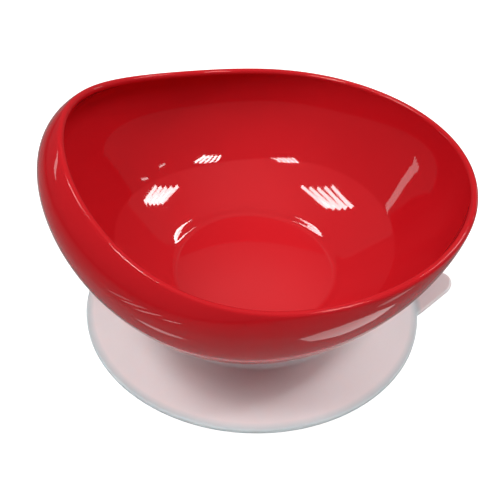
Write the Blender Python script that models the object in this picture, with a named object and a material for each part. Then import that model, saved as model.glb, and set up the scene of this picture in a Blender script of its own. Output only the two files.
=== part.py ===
"""Scoop bowl for a small child, on a removable suction pad with a release tab.

One unit is a metre. +Z is up, the table is z = 0 and the origin is the middle of the whole footprint.
The bowl's high wall is at -X, and its low side and the pad's tab are at +X.
"""

import math

import bmesh
import bpy
import numpy as np

MM = 0.001
GAP = 0.3 * MM                     # clearance between pieces that touch
AXIS_X = -2.9 * MM                 # the bowl's foot and the pad are round about this upright axis

# Bowl, measured from its foot's axis. Its rim, seen from above, is an egg shape set towards +X.
RIM_CENTRE_X = 3.8 * MM
RIM_RADIUS_X = 77.1 * MM
RIM_RADIUS_Y = 78.7 * MM
RIM_EGG = 1.4 * MM                 # how far the widest place moves towards the high wall
RIM_LOW_Z = 68.3 * MM              # top of the wall, under the rounded lip, round the low side
RIM_RISE = 21.7 * MM               # how much higher the scooping wall stands
RISE_START = 0.4                   # share of the bowl's length, from the low side, that stays level
RISE_POWER = 2.9                   # how suddenly the rim climbs after that
WALL = 3.0 * MM
FLOOR_RADIUS = 33.0 * MM           # flat inside floor
FLOOR_Z = 19.2 * MM                # top of that floor
FLOOR_PULL = 4.5 * MM              # how long the wall follows the floor before it climbs
RIM_PULL = (24.2 * MM, 39.0 * MM)  # how long the wall follows its direction at the rim: low, high
RIM_LEAN = (75.0, 146.0)           # that direction in degrees, 90 being upright: low, high
FOOT_RADIUS = 42.0 * MM
FOOT_WIDTH = 2.7 * MM

# Suction pad: a shallow flexible cup with a collar that grips the bowl's foot.
PAD_RADIUS = 70.2 * MM
LIP_WIDTH = 6.5 * MM               # flat sealing lip on the table
EDGE_HEIGHT = 2.1 * MM
EDGE_ROUND = 0.7 * MM
DECK_Z = 6.9 * MM                  # top of the disc inside the collar
DECK_THICKNESS = 2.2 * MM
DOME_RADIUS = 46.0 * MM            # flat roof of the hollow under the pad
DOME_SHOULDER_Z = 2.0 * MM         # height of the hollow halfway from that roof to the lip
COLLAR_INNER = FOOT_RADIUS + GAP
COLLAR_TOP_Z = 11.6 * MM
COLLAR_WIDTH = 3.0 * MM
COLLAR_ROUND = 0.8 * MM
COLLAR_BASE = 1.0 * MM             # height of the slope between the collar and the skirt
SKIRT_START_Z = 8.0 * MM           # where the skirt leaves the collar
SKIRT_START_RADIUS = COLLAR_INNER + COLLAR_WIDTH + 1.5 * MM
SKIRT_SAG = 0.9 * MM               # how far the skirt hangs below a straight cone

# Release tab: a tongue that grows out of the pad's straight edge below the bowl's low side.
TAB_ROOT_X = 68.7 * MM             # the pad's edge is cut straight here
TAB_ROOT_HALF_WIDTH = 13.0 * MM
TAB_REACH = 17.6 * MM              # from the hinge line to the tip
TAB_TIP_RADIUS = 7.0 * MM
TAB_THICKNESS = 1.8 * MM
TAB_LIFT = 24.0                    # degrees above the table at rest
TRIM_BLOCK = (40.0 * MM, 60.0 * MM, 40.0 * MM)  # cuts the pad's edge straight at the tab

# Fineness of the meshes
ROUND_STEPS = 72
WALL_STEPS = 12
LIP_STEPS = 5
SKIRT_STEPS = 7
TIP_STEPS = 12
ROOT_STEPS = 4
SLOPE_STEP = 1e-4                  # share and radians, for finding the wall's direction
FOOT_SHARE_LIMIT = 0.6             # the foot meets the wall below this share of its height
HALVINGS = 30


def clear_scene():
    for thing in list(bpy.data.objects):
        bpy.data.objects.remove(thing, do_unlink=True)


def plastic(name, colour, roughness):
    material = bpy.data.materials.new(name)
    material.use_nodes = True
    shader = material.node_tree.nodes["Principled BSDF"]
    shader.inputs["Base Color"].default_value = (*colour, 1.0)
    shader.inputs["Roughness"].default_value = roughness
    shader.inputs["Metallic"].default_value = 0.0
    return material


def angles():
    return np.arange(ROUND_STEPS) * (2.0 * math.pi / ROUND_STEPS)


def circle(radius, height):
    """A level ring of points around the Z axis."""
    turn = angles()
    return np.stack([radius * np.cos(turn), radius * np.sin(turn), np.full(ROUND_STEPS, height)], axis=1)


def lofted(name, rings, material):
    """One closed body through a list of rings, with a flat cap on the first and the last."""
    mesh = bmesh.new()
    loops = [[mesh.verts.new(point) for point in ring] for ring in rings]
    mesh.faces.new(list(reversed(loops[0])))
    mesh.faces.new(loops[-1])
    for lower, upper in zip(loops, loops[1:]):
        for i in range(ROUND_STEPS):
            j = (i + 1) % ROUND_STEPS
            mesh.faces.new((lower[i], lower[j], upper[j], upper[i]))
    bmesh.ops.recalc_face_normals(mesh, faces=mesh.faces)
    return finished(name, mesh, material)


def finished(name, mesh, material):
    data = bpy.data.meshes.new(name)
    mesh.to_mesh(data)
    mesh.free()
    data.materials.append(material)
    data.shade_smooth()
    data.set_sharp_from_angle(angle=math.radians(40.0))
    node = bpy.data.objects.new(name, data)
    bpy.context.collection.objects.link(node)
    return node


def rim_point(turn):
    """The top of the outer wall at an angle round the bowl, 0 being the low side."""
    along = (1.0 - np.cos(turn)) / 2.0
    climb = np.clip((along - RISE_START) / (1.0 - RISE_START), 0.0, None) ** RISE_POWER
    x = RIM_CENTRE_X + RIM_RADIUS_X * np.cos(turn) + RIM_EGG * np.cos(2.0 * turn)
    y = RIM_RADIUS_Y * np.sin(turn)
    z = RIM_LOW_Z + RIM_RISE * climb
    return np.stack([x, y, z], axis=-1)


def outer_wall(share, turn):
    """The outer wall, a Bezier curve from the floor's edge (share 0) up to the rim (share 1)."""
    high = (1.0 - np.cos(turn)) / 2.0
    pull = RIM_PULL[0] + (RIM_PULL[1] - RIM_PULL[0]) * high
    lean = np.radians(RIM_LEAN[0] + (RIM_LEAN[1] - RIM_LEAN[0]) * high)
    out = np.stack([np.cos(turn), np.sin(turn), np.zeros_like(turn)], axis=-1)
    up = np.array([0.0, 0.0, 1.0])
    start = FLOOR_RADIUS * out + (FLOOR_Z - WALL) * up
    end = rim_point(turn)
    first = start + FLOOR_PULL * out
    second = end - (pull * np.cos(lean))[..., None] * out - (pull * np.sin(lean))[..., None] * up
    t = np.asarray(share)[..., None]
    s = 1.0 - t
    return s ** 3 * start + 3.0 * s * s * t * first + 3.0 * s * t * t * second + t ** 3 * end


def wall_directions(share, turn):
    """Unit vectors up along the outer wall, and from it into the wall."""
    before = np.clip(share - SLOPE_STEP, 0.0, 1.0)
    after = np.clip(share + SLOPE_STEP, 0.0, 1.0)
    along = outer_wall(after, turn) - outer_wall(before, turn)
    around = outer_wall(share, turn + SLOPE_STEP) - outer_wall(share, turn - SLOPE_STEP)
    inward = np.cross(along, around)
    inward /= np.linalg.norm(inward, axis=-1, keepdims=True)
    along /= np.linalg.norm(along, axis=-1, keepdims=True)
    return along, inward


def share_at_foot(turn):
    """Where the outer wall passes the foot ring's outside."""
    low = np.zeros_like(turn)
    high = np.full_like(turn, FOOT_SHARE_LIMIT)
    for _ in range(HALVINGS):
        middle = (low + high) / 2.0
        point = outer_wall(middle, turn)
        inside = np.hypot(point[:, 0], point[:, 1]) < FOOT_RADIUS
        low = np.where(inside, middle, low)
        high = np.where(inside, high, middle)
    return (low + high) / 2.0


def outside_rings():
    turn = angles()
    first = share_at_foot(turn)
    shares = [first + (1.0 - first) * k / WALL_STEPS for k in range(WALL_STEPS + 1)]
    return [outer_wall(share, turn) for share in shares]


def lip_rings():
    """The rounded lip from the top of the outer wall over to the inner one."""
    turn = angles()
    top = np.ones_like(turn)
    along, inward = wall_directions(top, turn)
    middle = outer_wall(top, turn) + inward * WALL / 2.0
    swings = [math.pi * k / LIP_STEPS for k in range(1, LIP_STEPS)]
    return [middle + WALL / 2.0 * (math.sin(a) * along - math.cos(a) * inward) for a in swings]


def inside_rings():
    turn = angles()
    rings = []
    for k in range(WALL_STEPS, 0, -1):
        share = np.full_like(turn, k / WALL_STEPS)
        along, inward = wall_directions(share, turn)
        rings.append(outer_wall(share, turn) + WALL * inward)
    rings.append(circle(FLOOR_RADIUS, FLOOR_Z))
    return rings


def build_bowl(material):
    """Food bowl with its foot ring, one moulding."""
    foot_z = DECK_Z + GAP
    foot_inner = FOOT_RADIUS - FOOT_WIDTH
    rings = [
        circle(foot_inner, FLOOR_Z - WALL),
        circle(foot_inner, foot_z),
        circle(FOOT_RADIUS, foot_z),
    ]
    rings += outside_rings() + lip_rings() + inside_rings()
    bowl = lofted("bowl", rings, material)
    bowl.location.x = AXIS_X
    return bowl


def skirt_top(share):
    """Radius and height of the skirt's upper face, from the collar (0) to the edge (1)."""
    end_radius = PAD_RADIUS - EDGE_ROUND
    radius = SKIRT_START_RADIUS + (end_radius - SKIRT_START_RADIUS) * share
    height = SKIRT_START_Z + (EDGE_HEIGHT - SKIRT_START_Z) * share
    return radius, height - SKIRT_SAG * math.sin(math.pi * share)


def pad_profile():
    """The pad's section from the middle of its hollow, round the edge, to the middle of its deck."""
    collar_outer = COLLAR_INNER + COLLAR_WIDTH
    lip_inner = PAD_RADIUS - LIP_WIDTH
    skirt = [skirt_top(k / SKIRT_STEPS) for k in range(SKIRT_STEPS, -1, -1)]
    return [
        (DOME_RADIUS / 2.0, DECK_Z - DECK_THICKNESS),
        (DOME_RADIUS, DECK_Z - DECK_THICKNESS),
        ((DOME_RADIUS + lip_inner) / 2.0, DOME_SHOULDER_Z),
        (lip_inner, 0.0),
        (PAD_RADIUS - EDGE_ROUND, 0.0),
        (PAD_RADIUS, EDGE_ROUND),
        (PAD_RADIUS, EDGE_HEIGHT - EDGE_ROUND),
        *skirt,
        (collar_outer, SKIRT_START_Z + COLLAR_BASE),
        (collar_outer, COLLAR_TOP_Z - COLLAR_ROUND),
        (collar_outer - COLLAR_ROUND, COLLAR_TOP_Z),
        (COLLAR_INNER + COLLAR_ROUND, COLLAR_TOP_Z),
        (COLLAR_INNER, COLLAR_TOP_Z - COLLAR_ROUND),
        (COLLAR_INNER, DECK_Z),
        (DOME_RADIUS / 2.0, DECK_Z),
    ]


def edge_cutter():
    """A block that trims the pad's edge straight where the tab grows out of it."""
    middle_x = AXIS_X + TAB_ROOT_X + TRIM_BLOCK[0] / 2.0
    bpy.ops.mesh.primitive_cube_add(size=1.0, location=(middle_x, 0.0, 0.0))
    cutter = bpy.context.object
    cutter.name = "edge_cutter"
    cutter.scale = TRIM_BLOCK
    cutter.hide_render = True
    cutter.display_type = "WIRE"
    return cutter


def build_pad(material):
    """Flexible suction cup, turned about Z and trimmed straight at the tab."""
    pad = lofted("suction_pad", [circle(radius, height) for radius, height in pad_profile()], material)
    pad.location.x = AXIS_X
    trim = pad.modifiers.new("straight_edge", "BOOLEAN")
    trim.operation = "DIFFERENCE"
    trim.object = edge_cutter()
    return pad


def tab_outline():
    """The tongue's outline on one side of its centre line, from the root to the tip."""
    tip_centre = TAB_REACH - TAB_TIP_RADIUS
    spread = math.hypot(tip_centre, TAB_ROOT_HALF_WIDTH)
    tangent = math.atan2(TAB_ROOT_HALF_WIDTH, tip_centre) + math.acos(TAB_TIP_RADIUS / spread)
    start = math.pi - tangent
    points = [(0.0, TAB_ROOT_HALF_WIDTH)]
    for k in range(TIP_STEPS + 1):
        swing = start * (1.0 - k / TIP_STEPS)
        points.append((tip_centre + TAB_TIP_RADIUS * math.cos(swing), TAB_TIP_RADIUS * math.sin(swing)))
    return points


def build_tab(material):
    """The release tab: its origin is on the hinge line, and its root is rounded about it."""
    half = TAB_THICKNESS / 2.0
    side = tab_outline()
    outline = side + [(x, -y) for x, y in reversed(side[:-1])]
    mesh = bmesh.new()
    bottom = [mesh.verts.new((x, y, -half)) for x, y in outline]
    top = [mesh.verts.new((x, y, half)) for x, y in outline]
    mesh.faces.new(list(reversed(bottom)))
    mesh.faces.new(top)
    bottom.append(bottom[0])
    top.append(top[0])
    last = len(outline) - 1
    for i in range(last):
        mesh.faces.new((bottom[i], bottom[i + 1], top[i + 1], top[i]))
    turns = [math.pi * k / ROOT_STEPS for k in range(1, ROOT_STEPS)]
    beads = [bottom[:1] + bottom[last:last + 1]]
    for turn in turns:
        x = -half * math.sin(turn)
        z = -half * math.cos(turn)
        beads.append([mesh.verts.new((x, y, z)) for y in (TAB_ROOT_HALF_WIDTH, -TAB_ROOT_HALF_WIDTH)])
    beads.append(top[:1] + top[last:last + 1])
    for lower, upper in zip(beads, beads[1:]):
        mesh.faces.new((lower[1], lower[0], upper[0], upper[1]))
    mesh.faces.new([pair[0] for pair in beads])
    mesh.faces.new([pair[1] for pair in reversed(beads)])
    bmesh.ops.recalc_face_normals(mesh, faces=mesh.faces)
    tab = finished("release_tab", mesh, material)
    tab.location = (AXIS_X + TAB_ROOT_X + GAP + half, 0.0, EDGE_HEIGHT / 2.0)
    tab.rotation_euler = (0.0, -math.radians(TAB_LIFT), 0.0)
    return tab


def main():
    clear_scene()
    red = plastic("red_gloss_plastic", (0.62, 0.012, 0.016), 0.12)
    milky = plastic("milky_soft_plastic", (0.78, 0.74, 0.74), 0.45)
    build_bowl(red)
    build_pad(milky)
    build_tab(milky)


main()
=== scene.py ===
import math

import bpy
import numpy as np
from mathutils import Matrix, Vector


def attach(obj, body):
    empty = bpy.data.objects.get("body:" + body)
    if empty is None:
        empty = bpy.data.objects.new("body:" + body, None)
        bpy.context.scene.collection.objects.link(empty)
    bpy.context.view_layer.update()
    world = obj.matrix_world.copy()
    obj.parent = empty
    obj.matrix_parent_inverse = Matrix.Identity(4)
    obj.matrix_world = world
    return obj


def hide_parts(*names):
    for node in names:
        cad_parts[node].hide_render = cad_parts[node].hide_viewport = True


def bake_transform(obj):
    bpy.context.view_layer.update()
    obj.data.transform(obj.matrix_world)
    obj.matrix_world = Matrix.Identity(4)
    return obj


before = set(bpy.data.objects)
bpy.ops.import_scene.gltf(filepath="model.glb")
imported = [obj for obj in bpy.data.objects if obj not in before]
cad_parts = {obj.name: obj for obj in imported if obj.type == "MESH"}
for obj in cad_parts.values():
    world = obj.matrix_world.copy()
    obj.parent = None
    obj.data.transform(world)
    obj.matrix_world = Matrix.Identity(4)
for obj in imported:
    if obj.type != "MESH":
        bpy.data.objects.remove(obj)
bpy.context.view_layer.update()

MM = 0.001
AXIS_X = -2.9 * MM                 # the foot and the pad are round about this upright axis

# Bowl: the same wall as the CAD part, made finer
RIM_CENTRE_X = 3.8 * MM
RIM_RADIUS_X = 77.1 * MM
RIM_RADIUS_Y = 78.7 * MM
RIM_EGG = 1.4 * MM
RIM_LOW_Z = 68.3 * MM
RIM_RISE = 21.7 * MM
RISE_START = 0.4
RISE_POWER = 2.9
WALL = 3.0 * MM
FLOOR_RADIUS = 33.0 * MM
FLOOR_Z = 19.2 * MM
FLOOR_PULL = 4.5 * MM
RIM_PULL = (24.2 * MM, 39.0 * MM)
RIM_LEAN = (75.0, 146.0)
FOOT_RADIUS = 42.0 * MM
FOOT_WIDTH = 2.7 * MM
FOOT_Z = 7.2 * MM
FOOT_ROUND = 0.5 * MM
FOOT_FILLET = 1.2 * MM             # between the foot ring and the bowl's underside
FOOT_FILLET_END = FOOT_RADIUS + FOOT_FILLET * 1.1
FEED_DEPTH = 0.35 * MM             # the moulding's feed point, under the middle of the floor
BOWL_AROUND = 320
WALL_STEPS = 76
INNER_STEPS = 140
LIP_STEPS = 16
FLOOR_FILLET = 0.21                # share of the wall where the fillet up from the floor ends
FILLET_SLOPE = 0.69                # steepest part of that fillet, height over width
FILLET_WIDTH = 3.6 * MM            # from the flat floor to its steepest part
# A faint ring inside, where the lower dish meets the steeper wall
RING_CENTRE = (0.4 * MM, 3.6 * MM)
RING_RADIUS = 56.5 * MM
RING_DEPTH = 1.15 * MM
RING_RUN = (23.0 * MM, 15.0 * MM)  # how far the dish (inward) and the wall (upward) lean away from it
RING_ROUND = 0.45 * MM
DISH_EASE = 0.3                    # share of the dish's run over which its lean sets in
WALL_EASE = 0.45                   # the same for the wall
WALL_START = 0.85                  # the wall's share of the depth at the ring itself, before it is eased

# Pad and tab, one moulding
PAD_RADIUS = 70.2 * MM
LIP_WIDTH = 6.5 * MM
EDGE_HEIGHT = 2.1 * MM
EDGE_ROUND = 0.7 * MM
DECK_Z = 6.9 * MM
DECK_THICKNESS = 2.2 * MM
DECK_CORNER = 0.25 * MM
PAD_FEED_DEPTH = 0.3 * MM          # its feed point, in the roof of the hollow
DOME_RADIUS = 46.0 * MM
COLLAR_INNER = 42.3 * MM
COLLAR_TOP_Z = 11.6 * MM
COLLAR_WIDTH = 3.0 * MM
COLLAR_ROUND = 0.8 * MM
SKIRT_START_Z = 8.0 * MM
SKIRT_START_RADIUS = 46.8 * MM
SKIRT_SAG = 0.9 * MM
TAB_HINGE_X = 69.9 * MM            # from the pad's axis
TAB_ROOT_HALF_WIDTH = 13.0 * MM
TAB_REACH = 17.6 * MM
TAB_TIP_RADIUS = 7.0 * MM
TAB_THICKNESS = 1.8 * MM
TAB_LIFT = math.radians(24.0)
TAB_BEND = 2.4 * MM                # length of the curved root
ROOT_FILLET = 2.0 * MM             # where the tab's side runs into the round edge
OUTER_RINGS = 56                   # from the skirt's middle out to the edge
OUTER_START_RADIUS = 58.0 * MM

# Colours
RED_DEEP = (0.47, 0.0062, 0.0105)
RED_BRIGHT = (0.50, 0.0078, 0.0125)
DISH_PAINTED_REFLECTION_RED = (0.51, 0.0115, 0.0165)  # the dish within the ring is painted a touch paler: a painted reflection of the pale ceiling it mirrors
MILKY_DULL = (0.865, 0.80, 0.805)
MILKY_CLEAR = (0.905, 0.84, 0.845)
EDGE_TINT_AND_SHADE = (0.60, 0.67, 0.69)     # the thin sealing edge is cooler than the thick middle, and is painted darker as well: painted shade


def sheet_of_quads(rows, columns):
    """Vertex numbers of the quads between neighbouring closed rows of points."""
    i, j = np.meshgrid(np.arange(rows - 1), np.arange(columns), indexing="ij")
    k = (j + 1) % columns
    near = i * columns
    far = near + columns
    return np.stack([near + j, near + k, far + k, far + j], -1).reshape(-1, 4)


def body_of_rings(name, rings):
    """A closed mesh through rings of points, with a fan over the first and the last."""
    rings = np.asarray(rings)
    rows, columns, _ = rings.shape
    quads = sheet_of_quads(rows, columns)
    points = np.vstack([rings.reshape(-1, 3), rings[0].mean(0), rings[-1].mean(0)])
    first = rows * columns
    j = np.arange(columns)
    k = (j + 1) % columns
    low = np.stack([np.full(columns, first), k, j], -1)
    top = np.stack([np.full(columns, first + 1), (rows - 1) * columns + j, (rows - 1) * columns + k], -1)
    faces = quads.tolist() + low.tolist() + top.tolist()
    mesh = bpy.data.meshes.new(name)
    mesh.from_pydata(points.tolist(), [], faces)
    mesh.validate()
    mesh.shade_smooth()
    piece = bpy.data.objects.new(name, mesh)
    bpy.context.collection.objects.link(piece)
    return piece


# ---------------------------------------------------------------- bowl

def rim_point(turn):
    """The rim's outer line: slightly egg-shaped, level round the +x side and climbing to the -x side."""
    along = (1.0 - np.cos(turn)) / 2.0
    climb = np.clip((along - RISE_START) / (1.0 - RISE_START), 0.0, None) ** RISE_POWER
    x = RIM_CENTRE_X + RIM_RADIUS_X * np.cos(turn) + RIM_EGG * np.cos(2.0 * turn)
    y = RIM_RADIUS_Y * np.sin(turn)
    z = RIM_LOW_Z + RIM_RISE * climb
    return np.stack([x, y, z], axis=-1)


def outer_wall(share, turn):
    """A Bezier curve from the floor's edge (share 0) up to the rim (share 1)."""
    high = (1.0 - np.cos(turn)) / 2.0
    pull = RIM_PULL[0] + (RIM_PULL[1] - RIM_PULL[0]) * high
    lean = np.radians(RIM_LEAN[0] + (RIM_LEAN[1] - RIM_LEAN[0]) * high)
    out = np.stack([np.cos(turn), np.sin(turn), np.zeros_like(turn)], axis=-1)
    up = np.array([0.0, 0.0, 1.0])
    start = FLOOR_RADIUS * out + (FLOOR_Z - WALL) * up
    end = rim_point(turn)
    first = start + FLOOR_PULL * out
    second = end - pull[..., None] * (np.cos(lean)[..., None] * out + np.sin(lean)[..., None] * up)
    t = np.asarray(share)[..., None]
    s = 1.0 - t
    return s ** 3 * start + 3.0 * s * s * t * first + 3.0 * s * t * t * second + t ** 3 * end


def wall_directions(share, turn):
    """Unit vectors up along the outer wall and straight into its thickness."""
    step = 1e-4
    above = outer_wall(np.clip(share + step, 0.0, 1.0), turn)
    below = outer_wall(np.clip(share - step, 0.0, 1.0), turn)
    along = above - below
    around = outer_wall(share, turn + step) - outer_wall(share, turn - step)
    inward = np.cross(along, around)
    inward /= np.linalg.norm(inward, axis=-1, keepdims=True)
    along /= np.linalg.norm(along, axis=-1, keepdims=True)
    return along, inward


def inner_wall(share, turn):
    """The inside face: the outer wall moved in by its thickness, with the faint ring raised on it."""
    _, inward = wall_directions(share, turn)
    face = outer_wall(share, turn) + WALL * inward
    out = np.hypot(face[..., 0] - RING_CENTRE[0], face[..., 1] - RING_CENTRE[1]) - RING_RADIUS
    dish = np.clip(1.0 + out / RING_RUN[0], 0.0, None)
    dish = np.where(dish < DISH_EASE, dish * dish / (2.0 * DISH_EASE), dish - DISH_EASE / 2.0)
    wall = np.clip(WALL_START - out / RING_RUN[1], 0.0, None)
    wall = np.where(wall < 0.3, (wall + 0.15) ** 2 / (2.0 * WALL_EASE), wall - 0.075)
    soft = RING_ROUND / RING_RUN[0]
    depth = -soft * np.log(np.exp(-dish / soft) + np.exp(-wall / soft))
    return face - RING_DEPTH * np.clip(depth, 0.0, None)[..., None] * inward


def share_at_radius(radius, turn):
    """Where the outer wall passes this distance from the axis, found by halving."""
    low = np.zeros_like(turn)
    high = np.full_like(turn, 0.6)
    for _ in range(40):
        middle = (low + high) / 2.0
        point = outer_wall(middle, turn)
        inside = np.hypot(point[:, 0], point[:, 1]) < radius
        low = np.where(inside, middle, low)
        high = np.where(inside, high, middle)
    return (low + high) / 2.0


def ring(radius, height, turn):
    return np.stack([radius * np.cos(turn), radius * np.sin(turn), np.zeros_like(turn) + height], axis=-1)


def arc(centre_r, centre_z, radius, start, end, steps, turn):
    """Rings round a small arc of the section; angles in degrees from straight out."""
    rings = []
    for k in range(steps + 1):
        a = math.radians(start + (end - start) * k / steps)
        rings.append(ring(centre_r + radius * math.cos(a), centre_z + radius * math.sin(a), turn))
    return rings


def bowl_skin():
    """The bowl as one closed skin, in rings from underneath, up the outside and down to the floor."""
    turn = np.arange(BOWL_AROUND) * (2.0 * math.pi / BOWL_AROUND)
    under = FLOOR_Z - WALL
    inner = FOOT_RADIUS - FOOT_WIDTH
    rings = [ring(r * MM, under - FEED_DEPTH, turn) for r in (0.6, 1.6)]
    rings += [ring(r * MM, under, turn) for r in (2.0, 2.4, 10.0, 20.0, 30.0)]
    rings += arc(inner - FOOT_FILLET, under - FOOT_FILLET, FOOT_FILLET, 90.0, 0.0, 6, turn)
    rings += [ring(inner, z * MM, turn) for z in (12.0, 10.0)]
    rings += arc(inner + FOOT_ROUND, FOOT_Z + FOOT_ROUND, FOOT_ROUND, 180.0, 270.0, 5, turn)
    rings += arc(FOOT_RADIUS - FOOT_ROUND, FOOT_Z + FOOT_ROUND, FOOT_ROUND, -90.0, 0.0, 5, turn)
    rings += outside_of_foot(turn)
    first = share_at_radius(FOOT_FILLET_END, turn)
    for k in range(WALL_STEPS + 1):
        rings.append(outer_wall(first + (1.0 - first) * k / WALL_STEPS, turn))
    top = np.ones_like(turn)
    along, inward = wall_directions(top, turn)
    middle = outer_wall(top, turn) + inward * WALL / 2.0
    for k in range(1, LIP_STEPS):
        a = math.pi * k / LIP_STEPS
        rings.append(middle + WALL / 2.0 * (math.sin(a) * along - math.cos(a) * inward))
    for k in range(INNER_STEPS, -1, -1):
        share = FLOOR_FILLET + (1.0 - FLOOR_FILLET) * k / INNER_STEPS
        rings.append(inner_wall(np.full_like(turn, share), turn))
    rings += floor_fillet(turn)
    for r in (28.0, 26.0, 22.0, 16.0, 9.0, 3.0):
        rings.append(ring(r * MM, FLOOR_Z, turn))
    skin = body_of_rings("bowl_skin", rings)
    skin.data.transform(Matrix.Translation((AXIS_X, 0.0, 0.0)))
    return skin


def floor_fillet(turn):
    """The tight curve round the flat floor, easing out into the dish."""
    end = inner_wall(np.full_like(turn, FLOOR_FILLET), turn)
    above = inner_wall(np.full_like(turn, FLOOR_FILLET + 0.002), turn)
    end_r = np.hypot(end[:, 0], end[:, 1])
    slope = (above[:, 2] - end[:, 2]) / (np.hypot(above[:, 0], above[:, 1]) - end_r)
    climb = end[:, 2] - FLOOR_Z
    ease = 2.0 * (climb - FILLET_SLOPE * FILLET_WIDTH / 2.0) / (FILLET_SLOPE + slope)
    rings = []
    steps = 24
    for k in range(1, steps + 1):
        t = k / steps
        inward = ease * np.minimum(t * 2.0, 1.0) + FILLET_WIDTH * max(t * 2.0 - 1.0, 0.0)
        if t <= 0.5:                                           # from the dish's slope to the steepest
            u = t * 2.0
            drop = ease * (slope * u + (FILLET_SLOPE - slope) * (u ** 3 - u ** 4 / 2.0))
        else:                                                  # from there to the flat floor
            u = t * 2.0 - 1.0
            drop = ease * (slope + FILLET_SLOPE) / 2.0
            drop = drop + FILLET_WIDTH * FILLET_SLOPE * (u - u ** 3 + u ** 4 / 2.0)
        r = end_r - inward
        rings.append(np.stack([r * np.cos(turn), r * np.sin(turn), end[:, 2] - drop], axis=-1))
    return rings


def outside_of_foot(turn):
    """Up the foot's outside and round a small fillet into the wall."""
    share = share_at_radius(FOOT_RADIUS, turn)
    meet = outer_wall(share, turn)
    end = outer_wall(share_at_radius(FOOT_FILLET_END, turn), turn)
    out = np.stack([np.cos(turn), np.sin(turn), np.zeros_like(turn)], axis=-1)
    start = FOOT_RADIUS * out
    start[:, 2] = meet[:, 2] - FOOT_FILLET
    corner = FOOT_RADIUS * out
    corner[:, 2] = meet[:, 2]
    rings = []
    for z in (8.6, 10.6, 12.0):
        rings.append(ring(FOOT_RADIUS, z * MM, turn))
    for k in range(6):
        t = k / 6.0
        rings.append((1 - t) ** 2 * start + 2 * t * (1 - t) * corner + t * t * end)
    return rings


# ---------------------------------------------------------------- pad and tab

def smooth(x):
    x = np.clip(x, 0.0, 1.0)
    return x * x * (3.0 - 2.0 * x)


def skirt_height(radius):
    """Top of the pad outside the collar: a straight slope that sags a little."""
    end = PAD_RADIUS - EDGE_ROUND
    share = np.clip((radius - SKIRT_START_RADIUS) / (end - SKIRT_START_RADIUS), 0.0, 1.0)
    return SKIRT_START_Z + (EDGE_HEIGHT - SKIRT_START_Z) * share - SKIRT_SAG * np.sin(math.pi * share)


def pad_outline():
    """The edge seen flat, anticlockwise from the tab's tip: points and outward directions."""
    tip_x = TAB_HINGE_X + TAB_REACH - TAB_TIP_RADIUS
    run = tip_x - TAB_HINGE_X
    spread = math.hypot(run, TAB_ROOT_HALF_WIDTH)
    lean = math.pi - math.atan2(TAB_ROOT_HALF_WIDTH, run) - math.acos(TAB_TIP_RADIUS / spread)
    facing = np.array([math.cos(lean), math.sin(lean)])
    down = np.array([-facing[1], facing[0]])
    touch = np.array([tip_x, 0.0]) + TAB_TIP_RADIUS * facing
    # centre of the root fillet: clear of the side line and of the round edge by its own radius
    base = touch + ROOT_FILLET * facing
    b = base @ down
    c = base @ base - (PAD_RADIUS + ROOT_FILLET) ** 2
    centre = base + (-b - math.sqrt(b * b - c)) * down
    side_end = centre - ROOT_FILLET * facing
    edge_turn = math.atan2(centre[1], centre[0])
    points = []
    normals = []

    def add(p, n):
        points.append(np.asarray(p, float))
        normals.append(np.asarray(n, float))

    for k in range(25):
        a = lean * k / 24.0
        add((tip_x + TAB_TIP_RADIUS * math.cos(a), TAB_TIP_RADIUS * math.sin(a)), (math.cos(a), math.sin(a)))
    for k in range(1, 17):
        add(touch + (side_end - touch) * k / 16.0, facing)
    turn_from = lean + math.pi
    turn_to = edge_turn + math.pi
    for k in range(1, 9):
        a = turn_from + (turn_to - turn_from) * k / 8.0
        n = np.array([math.cos(a), math.sin(a)])
        add(centre + ROOT_FILLET * n, -n)
    steps = 150
    for k in range(1, steps + 1):
        a = edge_turn + (math.pi - edge_turn) * k / steps
        n = np.array([math.cos(a), math.sin(a)])
        add(PAD_RADIUS * n, n)
    points = np.array(points)
    normals = np.array(normals)
    mirror = np.array([1.0, -1.0])
    points = np.vstack([points, points[-2:0:-1] * mirror])
    normals = np.vstack([normals, normals[-2:0:-1] * mirror])
    return points, normals


def lifted(flat, above):
    """Flat points of the pad, raised by above over its middle sheet and bent up along the tab."""
    start = TAB_HINGE_X - TAB_BEND / 2.0
    s = flat[..., 0] - start
    bend = TAB_LIFT / TAB_BEND
    inside = np.clip(s, 0.0, TAB_BEND)
    beyond = np.clip(s - TAB_BEND, 0.0, None)
    angle = inside * bend
    x = np.where(s > 0.0, start, flat[..., 0]) + np.sin(angle) / bend + beyond * math.cos(TAB_LIFT)
    z = EDGE_HEIGHT / 2.0 + (1.0 - np.cos(angle)) / bend + beyond * math.sin(TAB_LIFT)
    return np.stack([x - above * np.sin(angle), flat[..., 1], z + above * np.cos(angle)], -1)


def tab_share(flat):
    """0 on the pad, 1 on the tab, for the change from one's thickness to the other's."""
    return smooth((flat[..., 0] - TAB_HINGE_X + TAB_BEND) / (2.0 * TAB_BEND))


def top_above(flat):
    """From the middle sheet up to the top face."""
    radius = np.hypot(flat[..., 0], flat[..., 1])
    share = tab_share(flat)
    pad = skirt_height(radius) - EDGE_HEIGHT / 2.0
    return pad * (1.0 - share) + TAB_THICKNESS / 2.0 * share


def under_below(flat):
    """From the middle sheet down to the underside."""
    share = tab_share(flat)
    return EDGE_HEIGHT / 2.0 * (1.0 - share) + TAB_THICKNESS / 2.0 * share


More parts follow.
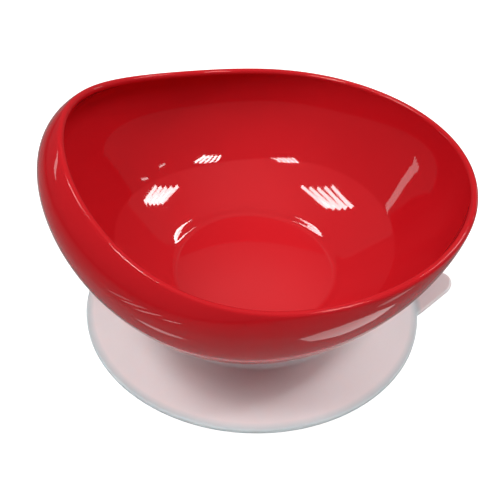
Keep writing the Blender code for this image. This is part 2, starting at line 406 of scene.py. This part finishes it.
def pad_skin():
    """Pad and tab as one closed skin, in rings from the hollow's roof round the edge to the deck."""
    edge, out = pad_outline()
    turn = np.arctan2(edge[:, 1], edge[:, 0])
    inset = edge - EDGE_ROUND * out

    def at(radius, height):
        return ring(radius, height, turn)

    lip_inner = PAD_RADIUS - LIP_WIDTH
    roof = DECK_Z - DECK_THICKNESS
    rings = [at(r * MM, roof - PAD_FEED_DEPTH) for r in (0.6, 1.5)]
    rings += [at(r * MM, roof) for r in (1.9, 2.4, 12.0, 24.0, 36.0, 43.0)]
    for k in range(1, 17):                                    # the hollow's curved side
        t = k / 16.0
        r = DOME_RADIUS + (lip_inner - DOME_RADIUS) * t
        rings.append(at(r, roof * (1.0 - smooth(0.04 + 0.96 * t) * 0.82 - 0.18 * t)))
    middle = (lip_inner + 0.7 * MM) * np.stack([np.cos(turn), np.sin(turn)], -1)
    for k in range(OUTER_RINGS + 1):                          # sealing lip, then the tab's underside
        flat = middle + (inset - middle) * (k / OUTER_RINGS)
        rings.append(lifted(flat, -under_below(flat)))
    for k in range(1, 8):                                     # lower round of the edge
        a = math.pi / 2.0 * k / 8.0
        flat = inset + EDGE_ROUND * math.sin(a) * out
        rings.append(lifted(flat, EDGE_ROUND * (1.0 - math.cos(a)) - under_below(flat)))
    below = under_below(edge)
    above = top_above(edge)
    rings.append(lifted(edge, EDGE_ROUND - below))
    rings.append(lifted(edge, above - EDGE_ROUND))
    for k in range(1, 8):                                     # upper round
        a = math.pi / 2.0 * (1.0 - k / 8.0)
        flat = inset + EDGE_ROUND * math.sin(a) * out
        rings.append(lifted(flat, top_above(flat) - EDGE_ROUND * (1.0 - math.cos(a))))
    start = OUTER_START_RADIUS * np.stack([np.cos(turn), np.sin(turn)], -1)
    for k in range(OUTER_RINGS, -1, -1):
        flat = start + (inset - start) * (k / OUTER_RINGS)
        rings.append(lifted(flat, top_above(flat)))
    for r in (56.0, 54.0, 52.0, 50.0, 48.5, 47.5):
        rings.append(at(r * MM, skirt_height(r * MM)))
    outer = COLLAR_INNER + COLLAR_WIDTH
    for k in range(7):                                        # fillet up to the collar
        t = k / 6.0
        a = np.array([SKIRT_START_RADIUS, SKIRT_START_Z])
        b = np.array([outer, SKIRT_START_Z + 0.2 * MM])
        c = np.array([outer, SKIRT_START_Z + 1.4 * MM])
        r, z = (1 - t) ** 2 * a + 2 * t * (1 - t) * b + t * t * c
        rings.append(at(r, z))
    rings += arc(outer - COLLAR_ROUND, COLLAR_TOP_Z - COLLAR_ROUND, COLLAR_ROUND, 0.0, 90.0, 6, turn)
    rings += arc(COLLAR_INNER + COLLAR_ROUND, COLLAR_TOP_Z - COLLAR_ROUND, COLLAR_ROUND, 90.0, 180.0, 6, turn)
    rings += [at(COLLAR_INNER, z * MM) for z in (9.5, 8.0)]
    rings += arc(COLLAR_INNER - DECK_CORNER, DECK_Z + DECK_CORNER, DECK_CORNER, 0.0, -90.0, 3, turn)
    rings += [at(r * MM, DECK_Z) for r in (41.0, 36.0, 24.0, 12.0, 4.0)]
    skin = body_of_rings("pad_skin", rings)
    skin.data.transform(Matrix.Translation((AXIS_X, 0.0, 0.0)))
    return skin


# ---------------------------------------------------------------- materials

def new_material(name):
    material = bpy.data.materials.new(name)
    material.use_nodes = True
    tree = material.node_tree
    return material, tree, tree.nodes["Principled BSDF"]


def noise(tree, coords, scale, detail=2.0, rough=0.5):
    node = tree.nodes.new("ShaderNodeTexNoise")
    node.inputs["Scale"].default_value = scale
    node.inputs["Detail"].default_value = detail
    node.inputs["Roughness"].default_value = rough
    tree.links.new(coords, node.inputs["Vector"])
    return node.outputs["Fac"]


def ranged(tree, value, low, high, to_low, to_high):
    node = tree.nodes.new("ShaderNodeMapRange")
    node.inputs["From Min"].default_value = low
    node.inputs["From Max"].default_value = high
    node.inputs["To Min"].default_value = to_low
    node.inputs["To Max"].default_value = to_high
    tree.links.new(value, node.inputs["Value"])
    return node.outputs["Result"]


def mixed_colour(tree, factor, a, b):
    """From a to b as the factor goes from 0 to 1; each is a colour or another node's output."""
    node = tree.nodes.new("ShaderNodeMix")
    node.data_type = "RGBA"
    tree.links.new(factor, node.inputs["Factor"])
    for name, colour in (("A", a), ("B", b)):
        if isinstance(colour, tuple):
            node.inputs[name].default_value = (*colour, 1.0)
        else:
            tree.links.new(colour, node.inputs[name])
    return node.outputs["Result"]


def maths(tree, operation, a, b):
    node = tree.nodes.new("ShaderNodeMath")
    node.operation = operation
    for socket, value in zip(node.inputs, (a, b)):
        if isinstance(value, (int, float)):
            socket.default_value = value
        else:
            tree.links.new(value, socket)
    return node.outputs["Value"]


def bump(tree, height, distance):
    node = tree.nodes.new("ShaderNodeBump")
    node.inputs["Distance"].default_value = distance
    node.inputs["Strength"].default_value = 1.0
    tree.links.new(height, node.inputs["Height"])
    return node.outputs["Normal"]


def stretched(tree, coords, scale, turn):
    node = tree.nodes.new("ShaderNodeMapping")
    node.inputs["Scale"].default_value = scale
    node.inputs["Rotation"].default_value = turn
    tree.links.new(coords, node.inputs["Vector"])
    return node.outputs["Vector"]


def distance_from_axis(tree, coords, x, y):
    """How far a point is from an upright line that stands at (x, y) from the foot's axis."""
    flat = tree.nodes.new("ShaderNodeVectorMath")
    flat.operation = "MULTIPLY"
    flat.inputs[1].default_value = (1.0, 1.0, 0.0)
    tree.links.new(coords, flat.inputs[0])
    away = tree.nodes.new("ShaderNodeVectorMath")
    away.operation = "DISTANCE"
    away.inputs[1].default_value = (AXIS_X + x, y, 0.0)
    tree.links.new(flat.outputs["Vector"], away.inputs[0])
    return away.outputs["Value"]


def painted_reflection_mask(tree, coords):
    """Where the dish's painted reflection goes: 1 on the inner face within the faint ring, 0 elsewhere."""
    away = distance_from_axis(tree, coords, *RING_CENTRE)
    within = ranged(tree, away, RING_RADIUS - 0.4 * MM, RING_RADIUS + 0.4 * MM, 1.0, 0.0)
    facing = tree.nodes.new("ShaderNodeSeparateXYZ")
    tree.links.new(tree.nodes.new("ShaderNodeTexCoord").outputs["Normal"], facing.inputs["Vector"])
    return maths(tree, "MULTIPLY", within, ranged(tree, facing.outputs["Z"], 0.0, 0.1, 0.0, 1.0))


def red_gloss_plastic():
    material, tree, shader = new_material("red_gloss_plastic")
    coords = tree.nodes.new("ShaderNodeTexCoord").outputs["Object"]
    drift = noise(tree, coords, 18.0, 3.0)
    colour = mixed_colour(tree, ranged(tree, drift, 0.35, 0.65, 0.0, 1.0), RED_DEEP, RED_BRIGHT)
    # painted reflection: the dish within the ring is painted a paler red
    dish = mixed_colour(tree, painted_reflection_mask(tree, coords), colour, DISH_PAINTED_REFLECTION_RED)
    tree.links.new(dish, shader.inputs["Base Color"])
    smear = noise(tree, coords, 60.0, 4.0, 0.6)
    scratch_a = noise(tree, stretched(tree, coords, (40.0, 1500.0, 260.0), (0.3, 0.1, 0.5)), 1.0, 2.0)
    scratch_b = noise(tree, stretched(tree, coords, (1400.0, 60.0, 300.0), (0.0, 0.4, -0.3)), 1.0, 2.0)
    scratch_a = ranged(tree, scratch_a, 0.66, 0.74, 0.0, 1.0)
    scratch_b = ranged(tree, scratch_b, 0.67, 0.75, 0.0, 1.0)
    scuff = maths(tree, "MULTIPLY", maths(tree, "MAXIMUM", scratch_a, scratch_b), 0.03)
    rough = maths(tree, "ADD", ranged(tree, smear, 0.3, 0.7, 0.02, 0.04), scuff)
    tree.links.new(rough, shader.inputs["Roughness"])
    shader.inputs["IOR"].default_value = 1.49
    shader.inputs["Specular IOR Level"].default_value = 0.5
    ripple = noise(tree, coords, 70.0, 2.0, 0.4)
    tree.links.new(bump(tree, ripple, 0.00002), shader.inputs["Normal"])
    return material


def milky_soft_plastic():
    material, tree, shader = new_material("milky_soft_plastic")
    coords = tree.nodes.new("ShaderNodeTexCoord").outputs["Object"]
    cloud = noise(tree, coords, 26.0, 3.0)
    colour = mixed_colour(tree, ranged(tree, cloud, 0.3, 0.7, 0.0, 1.0), MILKY_DULL, MILKY_CLEAR)
    radius = distance_from_axis(tree, coords, 0.0, 0.0)
    rim = ranged(tree, radius, PAD_RADIUS - 0.5 * LIP_WIDTH, PAD_RADIUS - 0.1 * LIP_WIDTH, 0.0, 1.0)
    before_tab = ranged(tree, radius, PAD_RADIUS + 0.2 * MM, PAD_RADIUS + 2.0 * MM, 1.0, 0.0)
    # the edge band: its cooler tint, also painted darker as painted shade
    edge = mixed_colour(tree, maths(tree, "MULTIPLY", rim, before_tab), colour, EDGE_TINT_AND_SHADE)
    tree.links.new(edge, shader.inputs["Base Color"])
    grain = noise(tree, coords, 2600.0, 2.0)
    smear = noise(tree, coords, 90.0, 4.0, 0.6)
    fine = ranged(tree, grain, 0.3, 0.7, -0.02, 0.03)
    rough = maths(tree, "ADD", ranged(tree, smear, 0.3, 0.7, 0.36, 0.44), fine)
    tree.links.new(rough, shader.inputs["Roughness"])
    shader.inputs["IOR"].default_value = 1.45
    shader.inputs["Subsurface Weight"].default_value = 0.45
    shader.inputs["Subsurface Radius"].default_value = (1.0, 0.8, 0.75)
    shader.inputs["Subsurface Scale"].default_value = 0.004
    tree.links.new(bump(tree, grain, 0.00001), shader.inputs["Normal"])
    return material


# ---------------------------------------------------------------- the room

CAMERA_PLACE = (-0.03451, -0.26218, 0.25356)
CAMERA_LOOK = Vector((0.0912, 0.7563, -0.6479))
CAMERA_ROLL = 0.04185
CAMERA_LENS = 61.2
CAMERA_SHIFT = (-0.0092, 0.0004)


def camera():
    data = bpy.data.cameras.new("camera")
    data.sensor_width = 36.0
    data.lens = CAMERA_LENS
    data.shift_x, data.shift_y = CAMERA_SHIFT
    data.clip_start = 0.01
    eye = bpy.data.objects.new("camera", data)
    bpy.context.collection.objects.link(eye)
    eye.location = CAMERA_PLACE
    turn = CAMERA_LOOK.to_track_quat("-Z", "Y").to_matrix() @ Matrix.Rotation(CAMERA_ROLL, 3, "Z")
    eye.rotation_euler = turn.to_euler()
    bpy.context.scene.camera = eye


def strip_light(name, a, b, width, radiance):
    """A lamp of an even brightness between the points a and b, facing the object."""
    a = Vector(a)
    b = Vector(b)
    data = bpy.data.lights.new(name, "AREA")
    data.shape = "RECTANGLE"
    data.size = (b - a).length
    data.size_y = width
    data.energy = radiance * (b - a).length * width * math.pi
    lamp = bpy.data.objects.new(name, data)
    bpy.context.collection.objects.link(lamp)
    x = (b - a).normalized()
    z = (a + b) / 2.0
    z = (z - x * z.dot(x)).normalized()
    y = z.cross(x)
    turn = Matrix((x, y, z)).transposed().to_4x4()
    lamp.matrix_world = Matrix.Translation((a + b) / 2.0) @ turn
    lamp.visible_camera = False
    return lamp


def mirrored_once(lamp):
    """Keep a lamp out of reflections of reflections, which would draw stray streaks in the bowl."""
    data = lamp.data
    data.use_nodes = True
    tree = data.node_tree
    depth = tree.nodes.new("ShaderNodeLightPath").outputs["Glossy Depth"]
    once = maths(tree, "LESS_THAN", depth, 1.5)
    tree.links.new(once, tree.nodes["Emission"].inputs["Strength"])


CEILING = 2.0
TUBES = 5
# Ceiling lamps, named after where the bowl mirrors them: where each one's first and last tube start and
# end (x, y in metres), how much of the room between them the tubes fill, and their brightness
LAMPS = {
    "near_left": (((0.95, -0.79), (1.26, -0.52), (0.52, -0.88), (0.69, -0.63)), 0.33, 34.0),
    "near_right": (((-0.71, -0.80), (-0.71, -0.36), (-1.21, -0.82), (-1.03, -0.30)), 0.33, 34.0),
    "far_left": (((2.20, 1.00), (2.86, 1.84), (1.48, 0.53), (2.15, 1.21)), 0.20, 19.0),
    "far_right": (((-0.95, 0.08), (-1.44, 0.63), (-1.55, 0.36), (-1.97, 1.13)), 0.27, 19.0),
}
# Single short tubes beside them
SPARE_TUBES = (((2.35, -0.02), (2.62, 0.22)), ((3.25, 0.90), (3.70, 1.25)), ((4.80, 2.60), (5.60, 3.25)))
SPARE_WIDTH = 0.03
SPARE_RADIANCE = 9.0
# Faint tall strips of daylight far off on both sides: azimuth and elevation in degrees of the lower and
# the upper end, and brightness
WINDOWS = {
    "window_left": ((31.0, 1.0), (40.0, 12.0), 2.2),
    "window_right": ((153.0, 16.0), (142.0, 22.5), 2.6),
}
WINDOW_STRIPS = 4
WINDOW_STEP = 1.9                  # degrees from one strip to the next
WINDOW_DISTANCE = 3.0
WINDOW_WIDTH = 0.05
# The pale part of the ceiling: its outline from the left (-x) past the near middle to the right
CEILING_PANEL_Z = CEILING + 0.05
CEILING_EDGE = (
    (-6.3, 11.8), (-4.1, 4.6), (-3.2, 2.15), (-2.6, 0.85), (-2.05, 0.0), (-1.4, -0.45), (-0.75, -0.66),
    (0.0, -0.68), (0.72, -0.48), (1.52, 0.0), (2.5, 0.75), (3.9, 2.2), (6.4, 5.4), (12.6, 13.8),
)
# Brighter spots on it: x, y, radius where the spot starts to fade and where it ends, added brightness
CEILING_SPOTS = ((0.0, 0.1, 0.35, 1.7, 0.17), (0.24, 2.02, 0.15, 0.42, 0.24))
FAR_WALL_Y = 14.0
FAR_WALL = ((-4.2, 0.0), (8.1, 0.0), (12.6, 1.65), (12.6, CEILING), (-6.3, CEILING), (-6.3, 1.9))
ROOM_LEVEL = 0.12


def ceiling_lamps():
    for name, ((first_a, first_b, last_a, last_b), fill, radiance) in LAMPS.items():
        spacing = (Vector(last_a) - Vector(first_a)).length / (TUBES - 1)
        for k in range(TUBES):
            t = k / (TUBES - 1)
            a = Vector((*Vector(first_a).lerp(Vector(last_a), t), CEILING))
            b = Vector((*Vector(first_b).lerp(Vector(last_b), t), CEILING))
            mirrored_once(strip_light(f"{name}_{k}", a, b, fill * spacing, radiance))
    for k, (a, b) in enumerate(SPARE_TUBES):
        mirrored_once(strip_light(f"spare_{k}", (*a, CEILING), (*b, CEILING), SPARE_WIDTH, SPARE_RADIANCE))


def far_windows():
    for name, (low, high, radiance) in WINDOWS.items():
        for k in range(WINDOW_STRIPS):
            shift = (k - (WINDOW_STRIPS - 1) / 2.0) * WINDOW_STEP
            ends = []
            for turn, rise in (low, high):
                a = math.radians(turn + shift)
                e = math.radians(rise)
                way = Vector((math.cos(a) * math.cos(e), math.sin(a) * math.cos(e), math.sin(e)))
                ends.append(way * WINDOW_DISTANCE)
            strip_light(f"{name}_{k}", ends[0], ends[1], WINDOW_WIDTH, radiance)


# Large soft studio lights that fill without being mirrored in the gloss: middle, side length, brightness
SOFT_LIGHTS = {
    "soft_over": ((0.0, -0.3, 1.95), 2.6, 0.62),
    "soft_left": ((-1.4, -0.3, 1.85), 1.2, 4.1),
    "soft_right": ((1.4, -0.3, 1.85), 1.2, 4.8),
}


def soft_lights():
    for name, (place, side, radiance) in SOFT_LIGHTS.items():
        half = Vector((0.0, side / 2.0, 0.0))
        lamp = strip_light(name, Vector(place) - half, Vector(place) + half, side, radiance)
        lamp.visible_glossy = False


ROOM_LOW = (0.10, 0.10, 0.105)      # the dim room round about, at the horizon and overhead
ROOM_HIGH = (0.13, 0.13, 0.135)
BACKDROP = (0.95, 0.95, 0.95)       # what the camera sees of it


def room():
    world = bpy.data.worlds.new("room")
    bpy.context.scene.world = world
    world.use_nodes = True
    tree = world.node_tree
    back = tree.nodes["Background"]
    coords = tree.nodes.new("ShaderNodeTexCoord").outputs["Generated"]
    split = tree.nodes.new("ShaderNodeSeparateXYZ")
    tree.links.new(coords, split.inputs["Vector"])
    ramp = tree.nodes.new("ShaderNodeValToRGB")
    tree.links.new(split.outputs["Z"], ramp.inputs["Fac"])
    stops = ramp.color_ramp.elements
    stops[0].position = 0.0
    stops[0].color = (*ROOM_LOW, 1.0)
    stops[1].position = 0.8
    stops[1].color = (*ROOM_HIGH, 1.0)
    tree.links.new(ramp.outputs["Color"], back.inputs["Color"])
    seen = tree.nodes.new("ShaderNodeBackground")
    seen.inputs["Color"].default_value = (*BACKDROP, 1.0)
    path = tree.nodes.new("ShaderNodeLightPath")
    mix = tree.nodes.new("ShaderNodeMixShader")
    tree.links.new(path.outputs["Is Camera Ray"], mix.inputs["Fac"])
    tree.links.new(back.outputs["Background"], mix.inputs[1])
    tree.links.new(seen.outputs["Background"], mix.inputs[2])
    tree.links.new(mix.outputs["Shader"], tree.nodes["World Output"].inputs["Surface"])


def glowing(name, points, faces, bright_spots=(), level=ROOM_LEVEL):
    """A pale surface of the room that the camera doesn't see, brighter round a few spots."""
    mesh = bpy.data.meshes.new(name)
    mesh.from_pydata(points, [], faces)
    panel = bpy.data.objects.new(name, mesh)
    bpy.context.collection.objects.link(panel)
    material = bpy.data.materials.new(name)
    material.use_nodes = True
    tree = material.node_tree
    tree.nodes.remove(tree.nodes["Principled BSDF"])
    glow = tree.nodes.new("ShaderNodeEmission")
    glow.inputs["Strength"].default_value = level
    if bright_spots:
        coords = tree.nodes.new("ShaderNodeTexCoord").outputs["Object"]
        total = None
        for x, y, inner, outer, extra in bright_spots:
            away = tree.nodes.new("ShaderNodeVectorMath")
            away.operation = "DISTANCE"
            away.inputs[1].default_value = (x, y, CEILING_PANEL_Z)
            tree.links.new(coords, away.inputs[0])
            spot = ranged(tree, away.outputs["Value"], inner, outer, extra, 0.0)
            total = maths(tree, "ADD", level if total is None else total, spot)
        tree.links.new(total, glow.inputs["Strength"])
    tree.links.new(glow.outputs["Emission"], tree.nodes["Material Output"].inputs["Surface"])
    mesh.materials.append(material)
    panel.visible_camera = False
    panel.visible_shadow = False
    return panel


def pale_room():
    """What the inside of the bowl mirrors: a pale ceiling and the pale wall at the room's far end."""
    outline = [(x, y, CEILING_PANEL_Z) for x, y in CEILING_EDGE]
    glowing("pale_ceiling", outline, [list(range(len(outline)))], CEILING_SPOTS)
    glowing("far_wall", [(x, FAR_WALL_Y, z) for x, z in FAR_WALL], [list(range(len(FAR_WALL)))])


# Where the lamps glare on the table top: from, to, half width (metres), brightness
GLARE_Z = 0.0004
GLARES = (
    ((-0.172, -0.086), (-0.237, -0.189), 0.0065, 1.6),
    ((-0.158, -0.103), (-0.221, -0.217), 0.0050, 2.6),
    ((-0.140, -0.113), (-0.192, -0.238), 0.0045, 3.2),
    ((-0.140, -0.172), (-0.137, -0.225), 0.0055, 4.5),
    ((-0.095, -0.076), (-0.060, -0.104), 0.0060, 2.4),
    ((0.098, -0.116), (0.125, -0.074), 0.0070, 1.5),
    ((0.024, -0.128), (0.090, -0.074), 0.0190, 2.6),
)


def table_glares():
    """Pale slender patches that only the gloss mirrors."""
    for k, (a, b, half, strength) in enumerate(GLARES):
        a = Vector((*a, GLARE_Z))
        b = Vector((*b, GLARE_Z))
        along = (b - a).normalized()
        side = Vector((-along.y, along.x, 0.0))
        points = []
        for t, share in ((0.0, 0.0), (0.2, 0.75), (0.5, 1.0), (0.8, 0.7), (1.0, 0.0)):
            middle = a.lerp(b, t)
            points.append(middle - side * half * share)
            points.append(middle + side * half * share)
        faces = [(i, i + 1, i + 3, i + 2) for i in range(0, 8, 2)]
        panel = glowing(f"glare_{k}", [tuple(p) for p in points], faces, level=strength)
        panel.visible_diffuse = False


FLOOR_SIZE = 24.0
FLOOR_DROP = 0.0002                 # keeps it clear of the pad's lip
# The grey table that the gloss mirrors is palest within an ellipse close round the object. These scale
# and shift x and y (in metres) so that the ellipse becomes the circle of radius 1.
TABLE_SCALE = (8.0, 6.9, 1.0)
TABLE_SHIFT = (0.2, 0.1, 0.0)
TABLE_REACH = 8.0                   # distance, on that scale, at which the ramp ends
TABLE_LEVELS = ((0.0, 0.36), (0.122, 0.36), (0.133, 0.27), (0.25, 0.19), (0.6, 0.11))
TABLE_FAR_LEVEL = 0.05
TABLE_BOUNCE = 2.2                  # how much paler it is for the light that it throws back
FLOOR_SEEN = (0.4, 0.4, 0.4)        # to the camera it's lit only a little, and glows
FLOOR_GLOW = 0.9


def floor():
    bpy.ops.mesh.primitive_plane_add(size=FLOOR_SIZE, location=(0.0, 0.0, -FLOOR_DROP))
    plane = bpy.context.object
    plane.name = "floor"
    material, tree, shader = new_material("pale_floor")
    shader.inputs["Roughness"].default_value = 0.8
    shader.inputs["Specular IOR Level"].default_value = 0.1
    coords = tree.nodes.new("ShaderNodeTexCoord").outputs["Object"]
    place = tree.nodes.new("ShaderNodeMapping")
    place.inputs["Location"].default_value = TABLE_SHIFT
    place.inputs["Scale"].default_value = TABLE_SCALE
    tree.links.new(coords, place.inputs["Vector"])
    far = tree.nodes.new("ShaderNodeVectorMath")
    far.operation = "LENGTH"
    tree.links.new(place.outputs["Vector"], far.inputs[0])
    ramp = tree.nodes.new("ShaderNodeValToRGB")
    tree.links.new(ranged(tree, far.outputs["Value"], 0.0, TABLE_REACH, 0.0, 1.0), ramp.inputs["Fac"])
    stops = ramp.color_ramp.elements
    for at, level in TABLE_LEVELS:
        stop = stops[0] if at == 0.0 else stops.new(at)
        stop.color = (level, level, level, 1.0)
    stops[-1].color = (TABLE_FAR_LEVEL, TABLE_FAR_LEVEL, TABLE_FAR_LEVEL, 1.0)
    tree.links.new(ramp.outputs["Color"], shader.inputs["Base Color"])
    path = tree.nodes.new("ShaderNodeLightPath")
    pale = tree.nodes.new("ShaderNodeBsdfDiffuse")
    bounce = tree.nodes.new("ShaderNodeVectorMath")
    bounce.operation = "SCALE"
    bounce.inputs["Scale"].default_value = TABLE_BOUNCE
    tree.links.new(ramp.outputs["Color"], bounce.inputs[0])
    shade = mixed_colour(tree, path.outputs["Is Camera Ray"], bounce.outputs["Vector"], FLOOR_SEEN)
    tree.links.new(shade, pale.inputs["Color"])
    glow = tree.nodes.new("ShaderNodeEmission")
    tree.links.new(maths(tree, "MULTIPLY", path.outputs["Is Camera Ray"], FLOOR_GLOW), glow.inputs["Strength"])
    both = tree.nodes.new("ShaderNodeAddShader")
    tree.links.new(pale.outputs["BSDF"], both.inputs[0])
    tree.links.new(glow.outputs["Emission"], both.inputs[1])
    mix = tree.nodes.new("ShaderNodeMixShader")
    tree.links.new(path.outputs["Is Glossy Ray"], mix.inputs["Fac"])
    tree.links.new(both.outputs["Shader"], mix.inputs[1])
    tree.links.new(shader.outputs["BSDF"], mix.inputs[2])
    # nothing from below, so that the underside can be seen
    below = tree.nodes.new("ShaderNodeMixShader")
    tree.links.new(tree.nodes.new("ShaderNodeNewGeometry").outputs["Backfacing"], below.inputs["Fac"])
    tree.links.new(mix.outputs["Shader"], below.inputs[1])
    tree.links.new(tree.nodes.new("ShaderNodeBsdfTransparent").outputs["BSDF"], below.inputs[2])
    tree.links.new(below.outputs["Shader"], tree.nodes["Material Output"].inputs["Surface"])
    plane.data.materials.append(material)


# ---------------------------------------------------------------- everything together

bowl = bowl_skin()
bowl.data.materials.append(red_gloss_plastic())
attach(bowl, "bowl")
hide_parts("bowl")

pad = pad_skin()
pad.data.materials.append(milky_soft_plastic())
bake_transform(pad)
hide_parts("suction_pad", "release_tab")

camera()
room()
floor()
ceiling_lamps()
far_windows()
pale_room()
table_glares()
soft_lights()
bpy.context.scene.view_settings.view_transform = "Standard"

bpy.context.view_layer.update()
